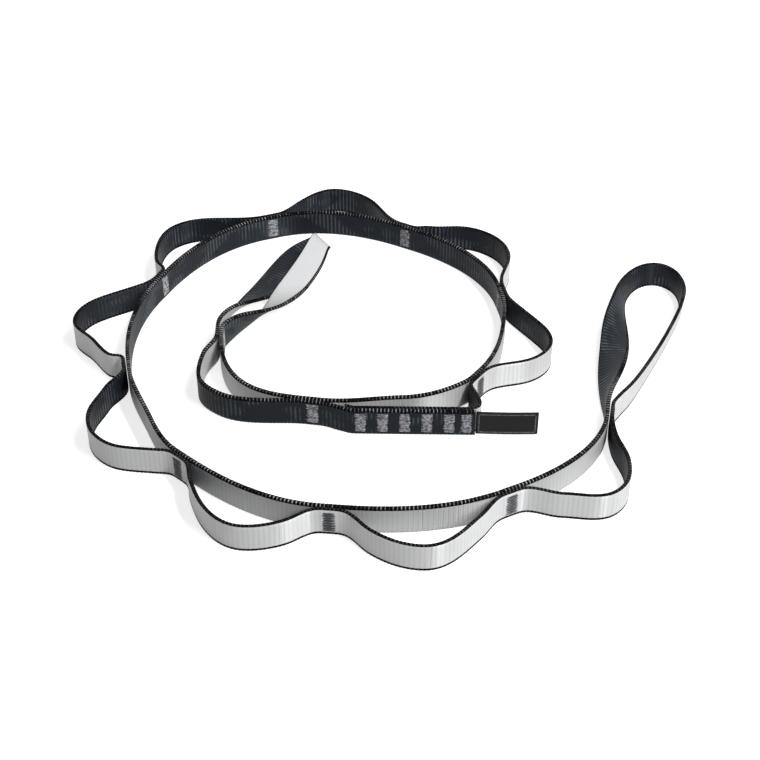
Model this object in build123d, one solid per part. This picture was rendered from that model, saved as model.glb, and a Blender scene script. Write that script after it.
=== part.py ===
from build123d import *
import math
import os

# A daisy chain: one long flat strap doubled on itself and bar-tacked into a row of pockets,
# with a twisted eye loop at each end. It lies in a loose coil, standing on the strap's edge.
#
# Frame: millimetres, +Z up, origin on the floor under the middle of the coil.
# The inner strand (the spine) and the outer strand (the pockets) run side by side. Both are
# cut into spans beside every tack, where the soft webbing bends, so that the chain uncoils.

# ------------------------------------------------------------------ driving sizes
strap_width = 16.0        # webbing, selvedge to selvedge
strap_thick = 2.2         # webbing, face to face
strand_gap = 0.2          # between two strands that a tack pulls together
tack_run = 7.0            # bar tack, along the webbing
tack_inset = 2.5          # from a selvedge to the bar tacks
tack_proud = 0.4          # thread that stands on each outer face
bend_clear = 1.0          # from a tack's end to the line where the strands bend
flat_clear = 0.5          # straight webbing past a tack's other end
splice_run = 63.0         # straight, doubled webbing where the strap's two ends are joined
splice_tack_run = 6.0     # splice tack, along the webbing
splice_tack_first = 13.5  # from the strap's cut end to the middle of the second splice tack
splice_tack_last = 3.9    # from the last splice tack's middle to the end of the straight run
splice_tack_count = 5     # splice tacks, evenly spaced, after the one at the cut end
end_tack_place = 4.6      # from the strap's cut end to the middle of the tack that closes it
label_long = 32.0
label_inset = 0.8         # from a selvedge to the label
label_thick = 1.0
label_gap = 0.3           # between the strap's cut end and the label's sewn edge
border_inset = 1.2        # from the label's edge to its sewn border
border_wide = 0.6
border_proud = 0.2

strand_step = strap_thick + strand_gap   # middle of one strand to middle of the other
tack_rise = strap_width - 2 * tack_inset
label_tall = strap_width - 2 * label_inset
bend_lead = tack_run / 2 + bend_clear    # from a tack's middle to the bend line
tack_flat = tack_run / 2 + flat_clear    # from a tack's middle to where the strands may curve
splice_tack_pitch = (splice_run - splice_tack_first - splice_tack_last) / (splice_tack_count - 1)
drawn_width = 16.0        # webbing width that the end loops' stations are set out for
loop_steps = 3            # loft sections in each run between two loop stations

# ------------------------------------------------------------------ the lay, in plan
# A station is (x, y, heading in degrees) of the spine's middle line, going from the outer
# end to the inner one. The coil turns right, so the left side of a heading is its outside.
# All plan points are given about coil_middle, which place() then puts at the origin.
coil_middle = (3.0, 33.25)

tacks = [
    (117.0, -25.0, 260.0),
    (62.0, -87.5, 207.0),
    (-24.0, -99.5, 174.0),
    (-98.0, -61.5, 138.0),
    (-134.5, 14.0, 101.0),
    (-125.5, 97.5, 66.0),
    (-66.0, 160.5, 21.0),
    (15.5, 149.0, -30.0),
    (68.5, 82.0, -80.0),
    (50.5, 3.0, -126.0),
    (-34.5, -18.0, -189.0),
    (-87.0, 43.0, -268.0),
]

# Stations that a spine span passes between its two tacks, by span number.
spine_stations = {
    4: [(-119.5, -27.0, 114.0)],
    9: [(67.3, 44.0, -99.0)],
    10: [(42.6, -5.0, -145.0), (12.0, -16.5, -178.0)],
    11: [(-65.5, -9.0, 148.0)],
}

# Stations that a pocket's outer strand passes between its two tacks, by pocket number.
pocket_stations = {
    1: [(118.3, -45.0, 274.0), (122.3, -66.0, 270.0), (118.5, -83.5, 238.0),
        (107.0, -92.0, 190.0), (88.0, -90.8, 178.0)],
    2: [(47.5, -106.0, 229.0), (20.0, -126.5, 178.0), (-5.0, -115.5, 139.0)],
    3: [(-46.0, -110.0, 202.0), (-65.0, -113.3, 175.0), (-84.0, -99.0, 122.0),
        (-92.0, -80.0, 108.0)],
    4: [(-112.0, -58.5, 173.0), (-130.0, -56.0, 166.0), (-143.5, -46.5, 128.0),
        (-149.0, -30.0, 92.0), (-143.5, -9.0, 76.0)],
    5: [(-146.0, 20.5, 138.0), (-160.5, 38.5, 138.0), (-169.5, 53.0, 92.0),
        (-160.0, 72.0, 38.0), (-141.0, 84.0, 32.0)],
    6: [(-131.0, 112.0, 103.0), (-132.0, 132.0, 84.0), (-124.0, 150.5, 42.0),
        (-109.0, 157.5, 10.0)],
    7: [(-50.0, 178.0, 50.0), (-28.0, 193.0, -2.0), (-8.0, 183.0, -45.0)],
    8: [(30.0, 149.0, -14.0), (50.0, 148.5, -8.0), (68.5, 138.0, -48.0),
        (76.0, 119.0, -88.0)],
    9: [(74.8, 70.0, -58.0), (88.0, 49.5, -58.0), (93.0, 31.5, -100.0),
        (81.5, 16.3, -150.0)],
    11: [(-60.0, -19.0, 178.0), (-84.0, -13.0, 145.0), (-96.0, 3.0, 96.0),
         (-95.0, 22.0, 80.0)],
}

# The splice closes the tenth pocket: the strap's near end lies along the front of its far
# end, which comes out of tack 10 and folds back through a limb and a turn.
near_end = (49.0, -28.6, 179.0)          # cut end of the near strand
near_bend = (-20.0, -25.3, 164.0)        # the near strand, past the splice
far_stub = (47.6, -5.0, -126.0)          # far strand, before it folds
far_fold = (47.4, -6.9, -68.0)           # far strand, after it folds
far_limb = (51.4, -19.0, -76.0)          # far strand, before its turn
far_turn_place = 1.4                     # where the turn meets the near strand, from its end
far_end_short = 1.5                      # far strand's cut end, before near_bend

# ------------------------------------------------------------------ the end loops
# Outer loop stations: x, y, height and lean of the strap's width. The lean turns the width
# from upright, towards an azimuth, both in degrees, so a half turn is taken up on the way.
outer_loop_stations = [
    (119.6, -8.0, 8.0, 0.0, 16.0),
    (124.0, 14.0, 8.0, -8.0, 55.0),
    (128.8, 36.0, 7.5, -10.0, 88.0),
    (131.6, 56.0, 8.0, -8.0, 118.0),
    (135.5, 75.0, 8.0, -5.0, 150.0),
    (140.0, 92.0, 8.0, -20.0, 170.0),
    (150.5, 106.5, 8.0, -60.0, 180.0),
    (163.0, 110.0, 8.0, -80.0, 184.0),
    (172.6, 101.5, 8.0, -160.0, 184.0),
    (174.8, 86.0, 8.0, 180.0, 183.0),
    (170.6, 70.0, 8.0, 155.0, 182.0),
    (158.5, 43.0, 8.0, 150.0, 183.0),
    (147.0, 20.0, 8.0, 150.0, 183.0),
    (133.5, -4.0, 8.0, 155.0, 181.0),
    (124.0, -15.0, 8.0, 160.0, 180.0),
]

# Inner loop stations: the two selvedges, first the one that stands on the floor at the tack.
inner_loop_stations = [
    ((-85.3, 51.0, 0.0), (-84.7, 51.2, 16.0)),
    ((-80.6, 59.5, 0.0), (-78.3, 56.8, 15.6)),
    ((-75.3, 68.0, 0.4), (-69.3, 61.8, 14.0)),
    ((-70.3, 75.3, 1.0), (-62.5, 66.8, 12.0)),
    ((-66.4, 82.0, 2.6), (-55.0, 73.5, 10.0)),
    ((-62.6, 91.5, 4.8), (-48.6, 85.4, 7.0)),
    ((-58.8, 101.5, 6.2), (-43.8, 98.2, 3.2)),
    ((-54.5, 113.0, 6.6), (-40.2, 108.6, 1.8)),
    ((-49.7, 128.5, 7.2), (-34.8, 121.6, 1.8)),
    ((-46.0, 143.0, 8.2), (-31.2, 131.8, 2.8)),
    ((-42.8, 155.0, 9.2), (-29.0, 139.3, 4.4)),
    ((-41.2, 158.8, 6.8), (-27.8, 141.3, 3.0)),
    ((-44.2, 158.4, 3.6), (-31.0, 140.3, 1.5)),
    ((-50.8, 153.8, 2.2), (-38.0, 138.5, 1.4)),
    ((-57.6, 144.4, 2.0), (-44.2, 133.0, 1.4)),
    ((-64.0, 130.0, 2.0), (-50.0, 121.5, 1.4)),
    ((-69.8, 115.6, 1.9), (-55.5, 108.4, 1.4)),
    ((-76.0, 101.4, 1.8), (-61.4, 94.6, 1.9)),
    ((-80.2, 92.0, 1.8), (-66.3, 87.0, 5.8)),
    ((-84.4, 82.0, 1.2), (-73.8, 76.4, 10.5)),
    ((-88.0, 71.0, 0.4), (-82.0, 67.4, 14.4)),
    ((-90.3, 61.0, 0.0), (-87.0, 59.2, 15.7)),
    ((-90.6, 52.0, 0.0), (-89.8, 51.4, 16.0)),
]


# ------------------------------------------------------------------ plan geometry
def place(x, y):
    return (x - coil_middle[0], y - coil_middle[1])


def facing(heading):
    """Unit vector along a heading."""
    return (math.cos(math.radians(heading)), math.sin(math.radians(heading)))


def step(station, along, across):
    """The station moved along its heading, and across it to the left."""
    x, y, heading = station
    ux, uy = facing(heading)
    return (x + along * ux - across * uy, y + along * uy + across * ux, heading)


def arc_between(p, q, heading, heading_at_end):
    """One arc of a run: its end points, middle point and left normals there."""
    base, other = (q, p) if heading_at_end else (p, q)
    ux, uy = facing(heading)
    nx, ny = -uy, ux
    cx, cy = other[0] - base[0], other[1] - base[1]
    lift = nx * cx + ny * cy
    chord = math.hypot(cx, cy)
    if abs(lift) < 1e-5 * chord:
        middle = ((p[0] + q[0]) / 2, (p[1] + q[1]) / 2)
        return [(p, (nx, ny)), (middle, (nx, ny)), (q, (nx, ny))]
    reach = chord * chord / (2 * lift)
    centre = (base[0] + nx * reach, base[1] + ny * reach)

    def normal_at(point):
        return ((centre[0] - point[0]) / reach, (centre[1] - point[1]) / reach)

    a, b = normal_at(p), normal_at(q)
    mx, my = a[0] + b[0], a[1] + b[1]
    size = math.hypot(mx, my)
    m = (mx / size, my / size)
    middle = (centre[0] - m[0] * reach, centre[1] - m[1] * reach)
    return [(p, a), (middle, m), (q, b)]


def arcs_through(stations):
    """Two tangent arcs between each pair of stations."""
    arcs = []
    for (x0, y0, h0), (x1, y1, h1) in zip(stations[:-1], stations[1:]):
        t0, t1 = facing(h0), facing(h1)
        vx, vy = x1 - x0, y1 - y0
        span = vx * vx + vy * vy
        open_part = 2 * (1 - t0[0] * t1[0] - t0[1] * t1[1])
        along = vx * (t0[0] + t1[0]) + vy * (t0[1] + t1[1])
        if open_part < 1e-9:
            reach = span / (2 * along)
        else:
            reach = (math.sqrt(along * along + open_part * span) - along) / open_part
        joint = (
            (x0 + x1 + reach * (t0[0] - t1[0])) / 2,
            (y0 + y1 + reach * (t0[1] - t1[1])) / 2,
        )
        arcs.append(arc_between((x0, y0), joint, h0, False))
        arcs.append(arc_between(joint, (x1, y1), h1, True))
    return arcs


def side_edges(arcs, across):
    """The line through the arcs, moved across to the left."""
    edges = []
    for arc in arcs:
        points = [place(p[0] + across * n[0], p[1] + across * n[1]) for p, n in arc]
        start, middle, end = [Vector(x, y) for x, y in points]
        bow = (start + end) / 2 - middle
        if bow.length < 1e-4:
            edges.append(Edge.make_line(start, end))
        else:
            edges.append(Edge.make_three_point_arc(start, middle, end))
    return edges


def upright_strip(stations):
    """Webbing that stands on its edge along the stations."""
    arcs = arcs_through(stations)
    half = strap_thick / 2
    left = side_edges(arcs, half)
    right = side_edges(arcs, -half)
    caps = [Edge.make_line(left[0] @ 0, right[0] @ 0), Edge.make_line(left[-1] @ 1, right[-1] @ 1)]
    outline = Wire.combine(left + right + caps)[0]
    return extrude(Face(outline), strap_width, dir=(0, 0, 1))


def pad(station, run, rise, thick, face):
    """A flat block on one face of the webbing, across the station's heading."""
    x, y, heading = step(station, 0, face + math.copysign(thick / 2, face))
    px, py = place(x, y)
    return Pos(px, py, strap_width / 2) * Rot(0, 0, heading) * Box(run, thick, rise)


# ------------------------------------------------------------------ end loop geometry
def upright(x, y):
    """Middle and half width of webbing that stands on its edge."""
    return [x, y, strap_width / 2, 0, 0, strap_width / 2]


def leaned(x, y, z, azimuth, lean):
    scale = strap_width / drawn_width
    ax, ay = facing(azimuth)
    side, rise = math.sin(math.radians(lean)), math.cos(math.radians(lean))
    half = strap_width / 2
    return [x, y, z * scale, half * side * ax, half * side * ay, half * rise]


def between_selvedges(first, second):
    scale = strap_width / drawn_width
    middle = [(a + b) / 2 for a, b in zip(first, second)]
    half = [(b - a) / 2 * scale for a, b in zip(first, second)]
    return [middle[0], middle[1], middle[2] * scale] + half


def smooth(rows, steps):
    """Rows between the given ones, on a cubic through them all."""
    places = [0.0]
    for a, b in zip(rows[:-1], rows[1:]):
        places.append(places[-1] + math.dist(a[:3], b[:3]))
    slopes = []
    for i in range(len(rows)):
        lo, hi = max(i - 1, 0), min(i + 1, len(rows) - 1)
        slopes.append([(b - a) / (places[hi] - places[lo]) for a, b in zip(rows[lo], rows[hi])])
    out = []
    for i in range(len(rows) - 1):
        run = places[i + 1] - places[i]
        for j in range(steps):
            t = j / steps
            ends = (2 * t**3 - 3 * t**2 + 1, 3 * t**2 - 2 * t**3)
            pulls = ((t**3 - 2 * t**2 + t) * run, (t**3 - t**2) * run)
            out.append([
                ends[0] * a + ends[1] * b + pulls[0] * c + pulls[1] * d
                for a, b, c, d in zip(rows[i], rows[i + 1], slopes[i], slopes[i + 1])
            ])
    out.append(rows[-1])
    return out


def twisted_strip(rows, first_heading, last_heading):
    """Webbing lofted through rows of middle and half width, with square ends, on the floor."""
    sections = []
    for i, row in enumerate(rows):
        px, py = place(row[0], row[1])
        middle, half = Vector(px, py, row[2]), Vector(*row[3:])
        before, after = rows[max(i - 1, 0)], rows[min(i + 1, len(rows) - 1)]
        run = Vector(*[b - a for a, b in zip(before[:3], after[:3])])
        if i == 0:
            run = Vector(*facing(first_heading))
        if i == len(rows) - 1:
            run = Vector(*facing(last_heading))
        face = half.cross(run).normalized() * (strap_thick / 2)
        corners = [middle - half - face, middle + half - face, middle + half + face, middle - half + face]
        lift = Vector(0, 0, max(0.0, -min(corner.Z for corner in corners)))
        sections.append(Wire.make_polygon([corner + lift for corner in corners], close=True))
    return Solid.make_loft(sections, ruled=True)


def outer_loop():
    tack = tacks[0]
    spine_side = step(tack, -bend_lead, 0)
    pocket_side = step(tack, -bend_lead, strand_step)
    rows = [upright(*spine_side[:2])]
    rows += [leaned(*station) for station in outer_loop_stations]
    last = upright(*pocket_side[:2])
    rows.append(last[:3] + [-part for part in last[3:]])
    return twisted_strip(smooth(rows, loop_steps), tack[2] + 180, tack[2])


def inner_loop():
    tack = tacks[-1]
    heading = tack[2]
    rows = [upright(*step(tack, -bend_lead, 0)[:2]), upright(*step(tack, tack_flat, 0)[:2])]
    rows += [between_selvedges(*station) for station in inner_loop_stations]
    rows.append(upright(*step(tack, tack_flat, strand_step)[:2]))
    rows.append(upright(*step(tack, -bend_lead, strand_step)[:2]))
    return twisted_strip(smooth(rows, loop_steps), heading, heading + 180)


# ------------------------------------------------------------------ spans, tacks and splice
def span(number, stations, across):
    """One strand from the bend line beside a tack to the bend line beside the next."""
    start, end = tacks[number - 1], tacks[number]
    ends = [step(start, -bend_lead, across), step(start, tack_flat, across)]
    return upright_strip(ends + stations + [step(end, -bend_lead, across)])


def tack_threads(station, run, inner_face, outer_face):
    """The two patches of thread of one bar tack, on both faces of the doubled webbing."""
    return Compound(children=[
        pad(station, run, tack_rise, tack_proud, inner_face),
        pad(station, run, tack_rise, tack_proud, outer_face),
    ])


def splice_near():
    stations = [near_end, step(near_end, splice_run, 0), near_bend]
    return upright_strip(stations + [step(tacks[10], -bend_lead, strand_step)])


def splice_far():
    tack = tacks[9]
    stations = [step(tack, -bend_lead, strand_step), step(tack, tack_flat, strand_step)]
    stations += [far_stub, far_fold, far_limb]
    stations += [step(near_end, far_turn_place, -strand_step), step(near_end, splice_run, -strand_step)]
    stations.append(step(near_bend, -far_end_short, -strand_step))
    return upright_strip(stations)


def label():
    station = step(near_end, -label_gap - label_long / 2, 0)
    px, py = place(station[0], station[1])
    return Pos(px, py, strap_width / 2) * Rot(0, 0, station[2]) * Box(label_long, label_thick, label_tall)


def label_border():
    station = step(near_end, -label_gap - label_long / 2, 0)
    outer = (label_long - 2 * border_inset, label_tall - 2 * border_inset)
    inner = (outer[0] - 2 * border_wide, outer[1] - 2 * border_wide)
    face = label_thick / 2
    ring = pad(station, outer[0], outer[1], border_proud, face)
    return ring - pad(station, inner[0], inner[1], 2 * border_proud, face)


def write(node, shape):
    export_step(shape, f"parts/{node}.step")


os.makedirs("parts", exist_ok=True)

write("outer_end_loop", outer_loop())
write("inner_end_loop", inner_loop())

for number in range(1, len(tacks)):
    write(f"spine_{number:02d}", span(number, spine_stations.get(number, []), 0))
    if number in pocket_stations:
        write(f"pocket_{number:02d}", span(number, pocket_stations[number], strand_step))

inner_face = -strap_thick / 2
outer_face = strand_step + strap_thick / 2
for number, station in enumerate(tacks, start=1):
    write(f"tack_{number:02d}", tack_threads(station, tack_run, inner_face, outer_face))

write("splice_near_strand", splice_near())
write("splice_far_strand", splice_far())

splice_places = [end_tack_place]
splice_places += [splice_tack_first + i * splice_tack_pitch for i in range(splice_tack_count)]
for number, along in enumerate(splice_places, start=1):
    station = step(near_end, along, 0)
    back_face = -strand_step - strap_thick / 2
    write(f"splice_tack_{number}", tack_threads(station, splice_tack_run, back_face, strap_thick / 2))

write("label", label())
write("label_border", label_border())
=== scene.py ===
import math

import bpy
import numpy as np
from mathutils import Matrix, Vector


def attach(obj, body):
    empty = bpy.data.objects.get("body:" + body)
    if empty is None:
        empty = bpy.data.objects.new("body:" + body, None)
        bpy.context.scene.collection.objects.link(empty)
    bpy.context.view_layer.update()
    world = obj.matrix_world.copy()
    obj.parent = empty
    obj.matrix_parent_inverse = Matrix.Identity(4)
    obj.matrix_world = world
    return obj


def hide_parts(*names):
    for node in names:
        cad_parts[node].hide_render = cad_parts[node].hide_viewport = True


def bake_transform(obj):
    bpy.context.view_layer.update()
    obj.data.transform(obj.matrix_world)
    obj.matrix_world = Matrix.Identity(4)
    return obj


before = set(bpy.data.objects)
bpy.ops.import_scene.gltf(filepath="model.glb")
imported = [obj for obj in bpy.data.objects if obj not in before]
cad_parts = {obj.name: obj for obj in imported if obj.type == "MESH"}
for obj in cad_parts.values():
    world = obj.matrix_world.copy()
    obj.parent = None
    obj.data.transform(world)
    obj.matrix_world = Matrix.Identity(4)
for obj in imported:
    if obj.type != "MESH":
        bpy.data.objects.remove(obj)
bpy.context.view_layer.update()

bl_info = {
    "name": "Daisy chain",
    "version": (1, 0, 0),
    "blender": (4, 5, 0),
    "location": "3D View > Sidebar > Daisy chain",
    "description": "Builds a bar-tacked webbing daisy chain, laid in a loose coil on its edge",
    "category": "Object",
}

MM = 0.001
HALF_WIDTH = 8.0        # half the strap's width, and the height of its middle when it stands on edge
HALF_THICK = 1.1
FACE_LEVEL = 0.92       # how far out a face lies, as a share of half the strap's thickness
MIDDLE_EASE = 1.6       # mm over which the strap's line and its width are eased
WIDTH_EASE = 2.5
FLOOR_GAP = 0.02
LABEL_BOW = 0.0004      # how far the label's middle stands out of line
BORDER_INSET = 0.003    # the border line's length and height are less than the label's by this
BORDER_WIDE = 0.0006
CAMERA_PLACE = (-0.003, -0.64757, 0.490)
CAMERA_TILT = 52.2
CAMERA_LENS = 69.87

# ---------------------------------------------------------------- the lay, as the part has it
# Plan stations are millimetres and a heading in degrees, about COIL_MIDDLE.
COIL_MIDDLE = (3.0, 33.25)
BEND_LEAD = 4.5         # from a tack's middle to the line where its strands bend
TACK_FLAT = 4.0         # straight webbing past a tack's middle
STRAND_STEP = 2.4       # middle of one strand to middle of the other
SPLICE_RUN = 63.0

TACKS = [
    (117.0, -25.0, 260.0),
    (62.0, -87.5, 207.0),
    (-24.0, -99.5, 174.0),
    (-98.0, -61.5, 138.0),
    (-134.5, 14.0, 101.0),
    (-125.5, 97.5, 66.0),
    (-66.0, 160.5, 21.0),
    (15.5, 149.0, -30.0),
    (68.5, 82.0, -80.0),
    (50.5, 3.0, -126.0),
    (-34.5, -18.0, -189.0),
    (-87.0, 43.0, -268.0),
]
SPINE_STATIONS = {
    4: [(-119.5, -27.0, 114.0)],
    9: [(67.3, 44.0, -99.0)],
    10: [(42.6, -5.0, -145.0), (12.0, -16.5, -178.0)],
    11: [(-65.5, -9.0, 148.0)],
}
POCKET_STATIONS = {
    1: [(118.3, -45.0, 274.0), (122.3, -66.0, 270.0), (118.5, -83.5, 238.0),
        (107.0, -92.0, 190.0), (88.0, -90.8, 178.0)],
    2: [(47.5, -106.0, 229.0), (20.0, -126.5, 178.0), (-5.0, -115.5, 139.0)],
    3: [(-46.0, -110.0, 202.0), (-65.0, -113.3, 175.0), (-84.0, -99.0, 122.0),
        (-92.0, -80.0, 108.0)],
    4: [(-112.0, -58.5, 173.0), (-130.0, -56.0, 166.0), (-143.5, -46.5, 128.0),
        (-149.0, -30.0, 92.0), (-143.5, -9.0, 76.0)],
    5: [(-146.0, 20.5, 138.0), (-160.5, 38.5, 138.0), (-169.5, 53.0, 92.0),
        (-160.0, 72.0, 38.0), (-141.0, 84.0, 32.0)],
    6: [(-131.0, 112.0, 103.0), (-132.0, 132.0, 84.0), (-124.0, 150.5, 42.0),
        (-109.0, 157.5, 10.0)],
    7: [(-50.0, 178.0, 50.0), (-28.0, 193.0, -2.0), (-8.0, 183.0, -45.0)],
    8: [(30.0, 149.0, -14.0), (50.0, 148.5, -8.0), (68.5, 138.0, -48.0),
        (76.0, 119.0, -88.0)],
    9: [(74.8, 70.0, -58.0), (88.0, 49.5, -58.0), (93.0, 31.5, -100.0),
        (81.5, 16.3, -150.0)],
    11: [(-60.0, -19.0, 178.0), (-84.0, -13.0, 145.0), (-96.0, 3.0, 96.0),
         (-95.0, 22.0, 80.0)],
}
NEAR_END = (49.0, -28.6, 179.0)
NEAR_BEND = (-20.0, -25.3, 164.0)
FAR_STUB = (47.6, -5.0, -126.0)
FAR_FOLD = (47.4, -6.9, -68.0)
FAR_LIMB = (51.4, -19.0, -76.0)
FAR_TURN_PLACE = 1.4
FAR_END_SHORT = 1.5

# Outer loop: x, y, height, then the azimuth and the lean of the strap's width, in degrees.
OUTER_LOOP = [
    (119.6, -8.0, 8.0, 0.0, 16.0),
    (124.0, 14.0, 8.0, -8.0, 55.0),
    (128.8, 36.0, 7.5, -10.0, 88.0),
    (131.6, 56.0, 8.0, -8.0, 118.0),
    (135.5, 75.0, 8.0, -5.0, 150.0),
    (140.0, 92.0, 8.0, -20.0, 170.0),
    (150.5, 106.5, 8.0, -60.0, 180.0),
    (163.0, 110.0, 8.0, -80.0, 184.0),
    (172.6, 101.5, 8.0, -160.0, 184.0),
    (174.8, 86.0, 8.0, 180.0, 179.0),
    (169.6, 69.0, 8.0, 155.0, 173.0),
    (157.5, 42.5, 8.0, 150.0, 171.0),
    (146.0, 20.0, 8.0, 150.0, 172.0),
    (132.7, -4.0, 8.0, 155.0, 176.0),
    (124.0, -15.0, 8.0, 160.0, 180.0),
]
# Inner loop: its two selvedges, from the spine's side of the last tack round to the pocket's,
# at the part's own points.
INNER_LOOP = [
    ((-85.3, 51.0, 0.0), (-84.7, 51.2, 16.0)),
    ((-80.6, 59.5, 0.0), (-78.3, 56.8, 15.6)),
    ((-75.3, 68.0, 0.4), (-69.3, 61.8, 14.0)),
    ((-70.3, 75.3, 1.0), (-62.5, 66.8, 12.0)),
    ((-66.4, 82.0, 2.6), (-55.0, 73.5, 10.0)),
    ((-62.6, 91.5, 4.8), (-48.6, 85.4, 7.0)),
    ((-58.8, 101.5, 6.2), (-43.8, 98.2, 3.2)),
    ((-54.5, 113.0, 6.6), (-40.2, 108.6, 1.8)),
    ((-49.7, 128.5, 7.2), (-34.8, 121.6, 1.8)),
    ((-46.0, 143.0, 8.2), (-31.2, 131.8, 2.8)),
    ((-42.8, 155.0, 9.2), (-29.0, 139.3, 4.4)),
    ((-41.2, 158.8, 6.8), (-27.8, 141.3, 3.0)),
    ((-44.2, 158.4, 3.6), (-31.0, 140.3, 1.5)),
    ((-50.8, 153.8, 2.2), (-38.0, 138.5, 1.4)),
    ((-57.6, 144.4, 2.0), (-44.2, 133.0, 1.4)),
    ((-64.0, 130.0, 2.0), (-50.0, 121.5, 1.4)),
    ((-69.8, 115.6, 1.9), (-55.5, 108.4, 1.4)),
    ((-76.0, 101.4, 1.8), (-61.4, 94.6, 1.9)),
    ((-80.2, 92.0, 1.8), (-66.3, 87.0, 5.8)),
    ((-84.4, 82.0, 1.2), (-73.8, 76.4, 10.5)),
    ((-88.0, 71.0, 0.4), (-82.0, 67.4, 14.4)),
    ((-90.3, 61.0, 0.0), (-87.0, 59.2, 15.7)),
    ((-90.6, 52.0, 0.0), (-89.8, 51.4, 16.0)),
]

LABEL_GAP = 0.3
END_TACK_PLACE = 4.6
SPLICE_TACKS = [END_TACK_PLACE] + [13.5 + 11.4 * i for i in range(5)]

ROW_STEP = 0.4          # mm between two rows of the strap's mesh
OUTER_SEAM = -14.0      # where the outer loop's piece starts, along tack 1
INNER_SEAM = 6.0        # where the inner loop's piece starts, along tack 12


# ---------------------------------------------------------------- settings
class ChainWebbing(bpy.types.PropertyGroup):
    """The strap's sizes and colours."""
    width: bpy.props.FloatProperty(
        name="Strap width", description="Webbing, selvedge to selvedge",
        default=0.016, min=0.008, max=0.03, unit="LENGTH")
    thick: bpy.props.FloatProperty(
        name="Strap thickness", description="Webbing, face to face",
        default=0.0022, min=0.001, max=0.005, unit="LENGTH")
    rib_pitch: bpy.props.FloatProperty(
        name="Rib pitch", description="From one weft rib to the next, along the strap",
        default=0.0024, min=0.001, max=0.006, unit="LENGTH")
    rib_depth: bpy.props.FloatProperty(
        name="Rib depth", description="How deep the groove between two ribs is",
        default=0.0001, min=0.0, max=0.0005, unit="LENGTH")
    selvedge: bpy.props.FloatProperty(
        name="Bound selvedge", description="Width of the thick bound edge, on each face",
        default=0.0016, min=0.0004, max=0.003, unit="LENGTH")
    thin_selvedge: bpy.props.FloatProperty(
        name="Thin selvedge", description="Width of the thin dark edge, on each face",
        default=0.0007, min=0.0002, max=0.003, unit="LENGTH")
    dark: bpy.props.FloatVectorProperty(
        name="Dark face", description="Colour of the strap's dark face",
        default=(0.0045, 0.0064, 0.009), min=0.0, max=1.0, subtype="COLOR")
    pale: bpy.props.FloatVectorProperty(
        name="Pale face", description="Colour of the strap's pale face",
        default=(0.46, 0.465, 0.47), min=0.0, max=1.0, subtype="COLOR")
    # Painted glint: this pale colour is added on the dark face's rib crests and stands in for the satin's
    # highlights.
    painted_glint: bpy.props.FloatVectorProperty(
        name="Filaments", description="Colour of the pale filaments on the dark face's ribs",
        default=(0.12, 0.13, 0.145), min=0.0, max=1.0, subtype="COLOR")
    edge: bpy.props.FloatVectorProperty(
        name="Selvedge colour", description="Colour of the binding yarn on both edges",
        default=(0.003, 0.003, 0.0035), min=0.0, max=1.0, subtype="COLOR")
    fleck: bpy.props.FloatVectorProperty(
        name="Selvedge flecks", description="Colour of the weft loops that show on the edges",
        default=(0.26, 0.26, 0.265), min=0.0, max=1.0, subtype="COLOR")


class ChainStitching(bpy.types.PropertyGroup):
    """The bar tacks' sizes and colours."""
    run: bpy.props.FloatProperty(
        name="Bar tack run", description="Bar tack, along the webbing",
        default=0.0066, min=0.003, max=0.015, unit="LENGTH")
    splice_run: bpy.props.FloatProperty(
        name="Splice tack run", description="Splice tack, along the webbing",
        default=0.0058, min=0.003, max=0.015, unit="LENGTH")
    rise: bpy.props.FloatProperty(
        name="Tack rise", description="Bar tack, across the webbing",
        default=0.0112, min=0.004, max=0.02, unit="LENGTH")
    thread: bpy.props.FloatProperty(
        name="Thread", description="Thickness of the tack thread",
        default=0.0004, min=0.0001, max=0.001, unit="LENGTH")
    passes: bpy.props.IntProperty(
        name="Passes", description="Threads side by side in one tack", default=21, min=6, max=60)
    pale: bpy.props.FloatVectorProperty(
        name="Pale thread", description="Thread that shows on the dark face",
        default=(0.30, 0.30, 0.33), min=0.0, max=1.0, subtype="COLOR")
    dark: bpy.props.FloatVectorProperty(
        name="Dark thread", description="Thread that shows on the pale face",
        default=(0.035, 0.037, 0.045), min=0.0, max=1.0, subtype="COLOR")


class ChainLabel(bpy.types.PropertyGroup):
    """The bare label's sizes and colours."""
    length: bpy.props.FloatProperty(
        name="Label length", description="Along the strap", default=0.032, min=0.01, max=0.06,
        unit="LENGTH")
    tall: bpy.props.FloatProperty(
        name="Label height", description="Across the strap", default=0.0144, min=0.006, max=0.03,
        unit="LENGTH")
    thick: bpy.props.FloatProperty(
        name="Label thickness", description="Folded tape, face to face", default=0.001,
        min=0.0004, max=0.003, unit="LENGTH")
    cloth: bpy.props.FloatVectorProperty(
        name="Label cloth", description="Colour of the bare woven tape",
        default=(0.008, 0.0085, 0.009), min=0.0, max=1.0, subtype="COLOR")
    border: bpy.props.FloatVectorProperty(
        name="Label border", description="Colour of the woven border line",
        default=(0.07, 0.07, 0.073), min=0.0, max=1.0, subtype="COLOR")


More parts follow.
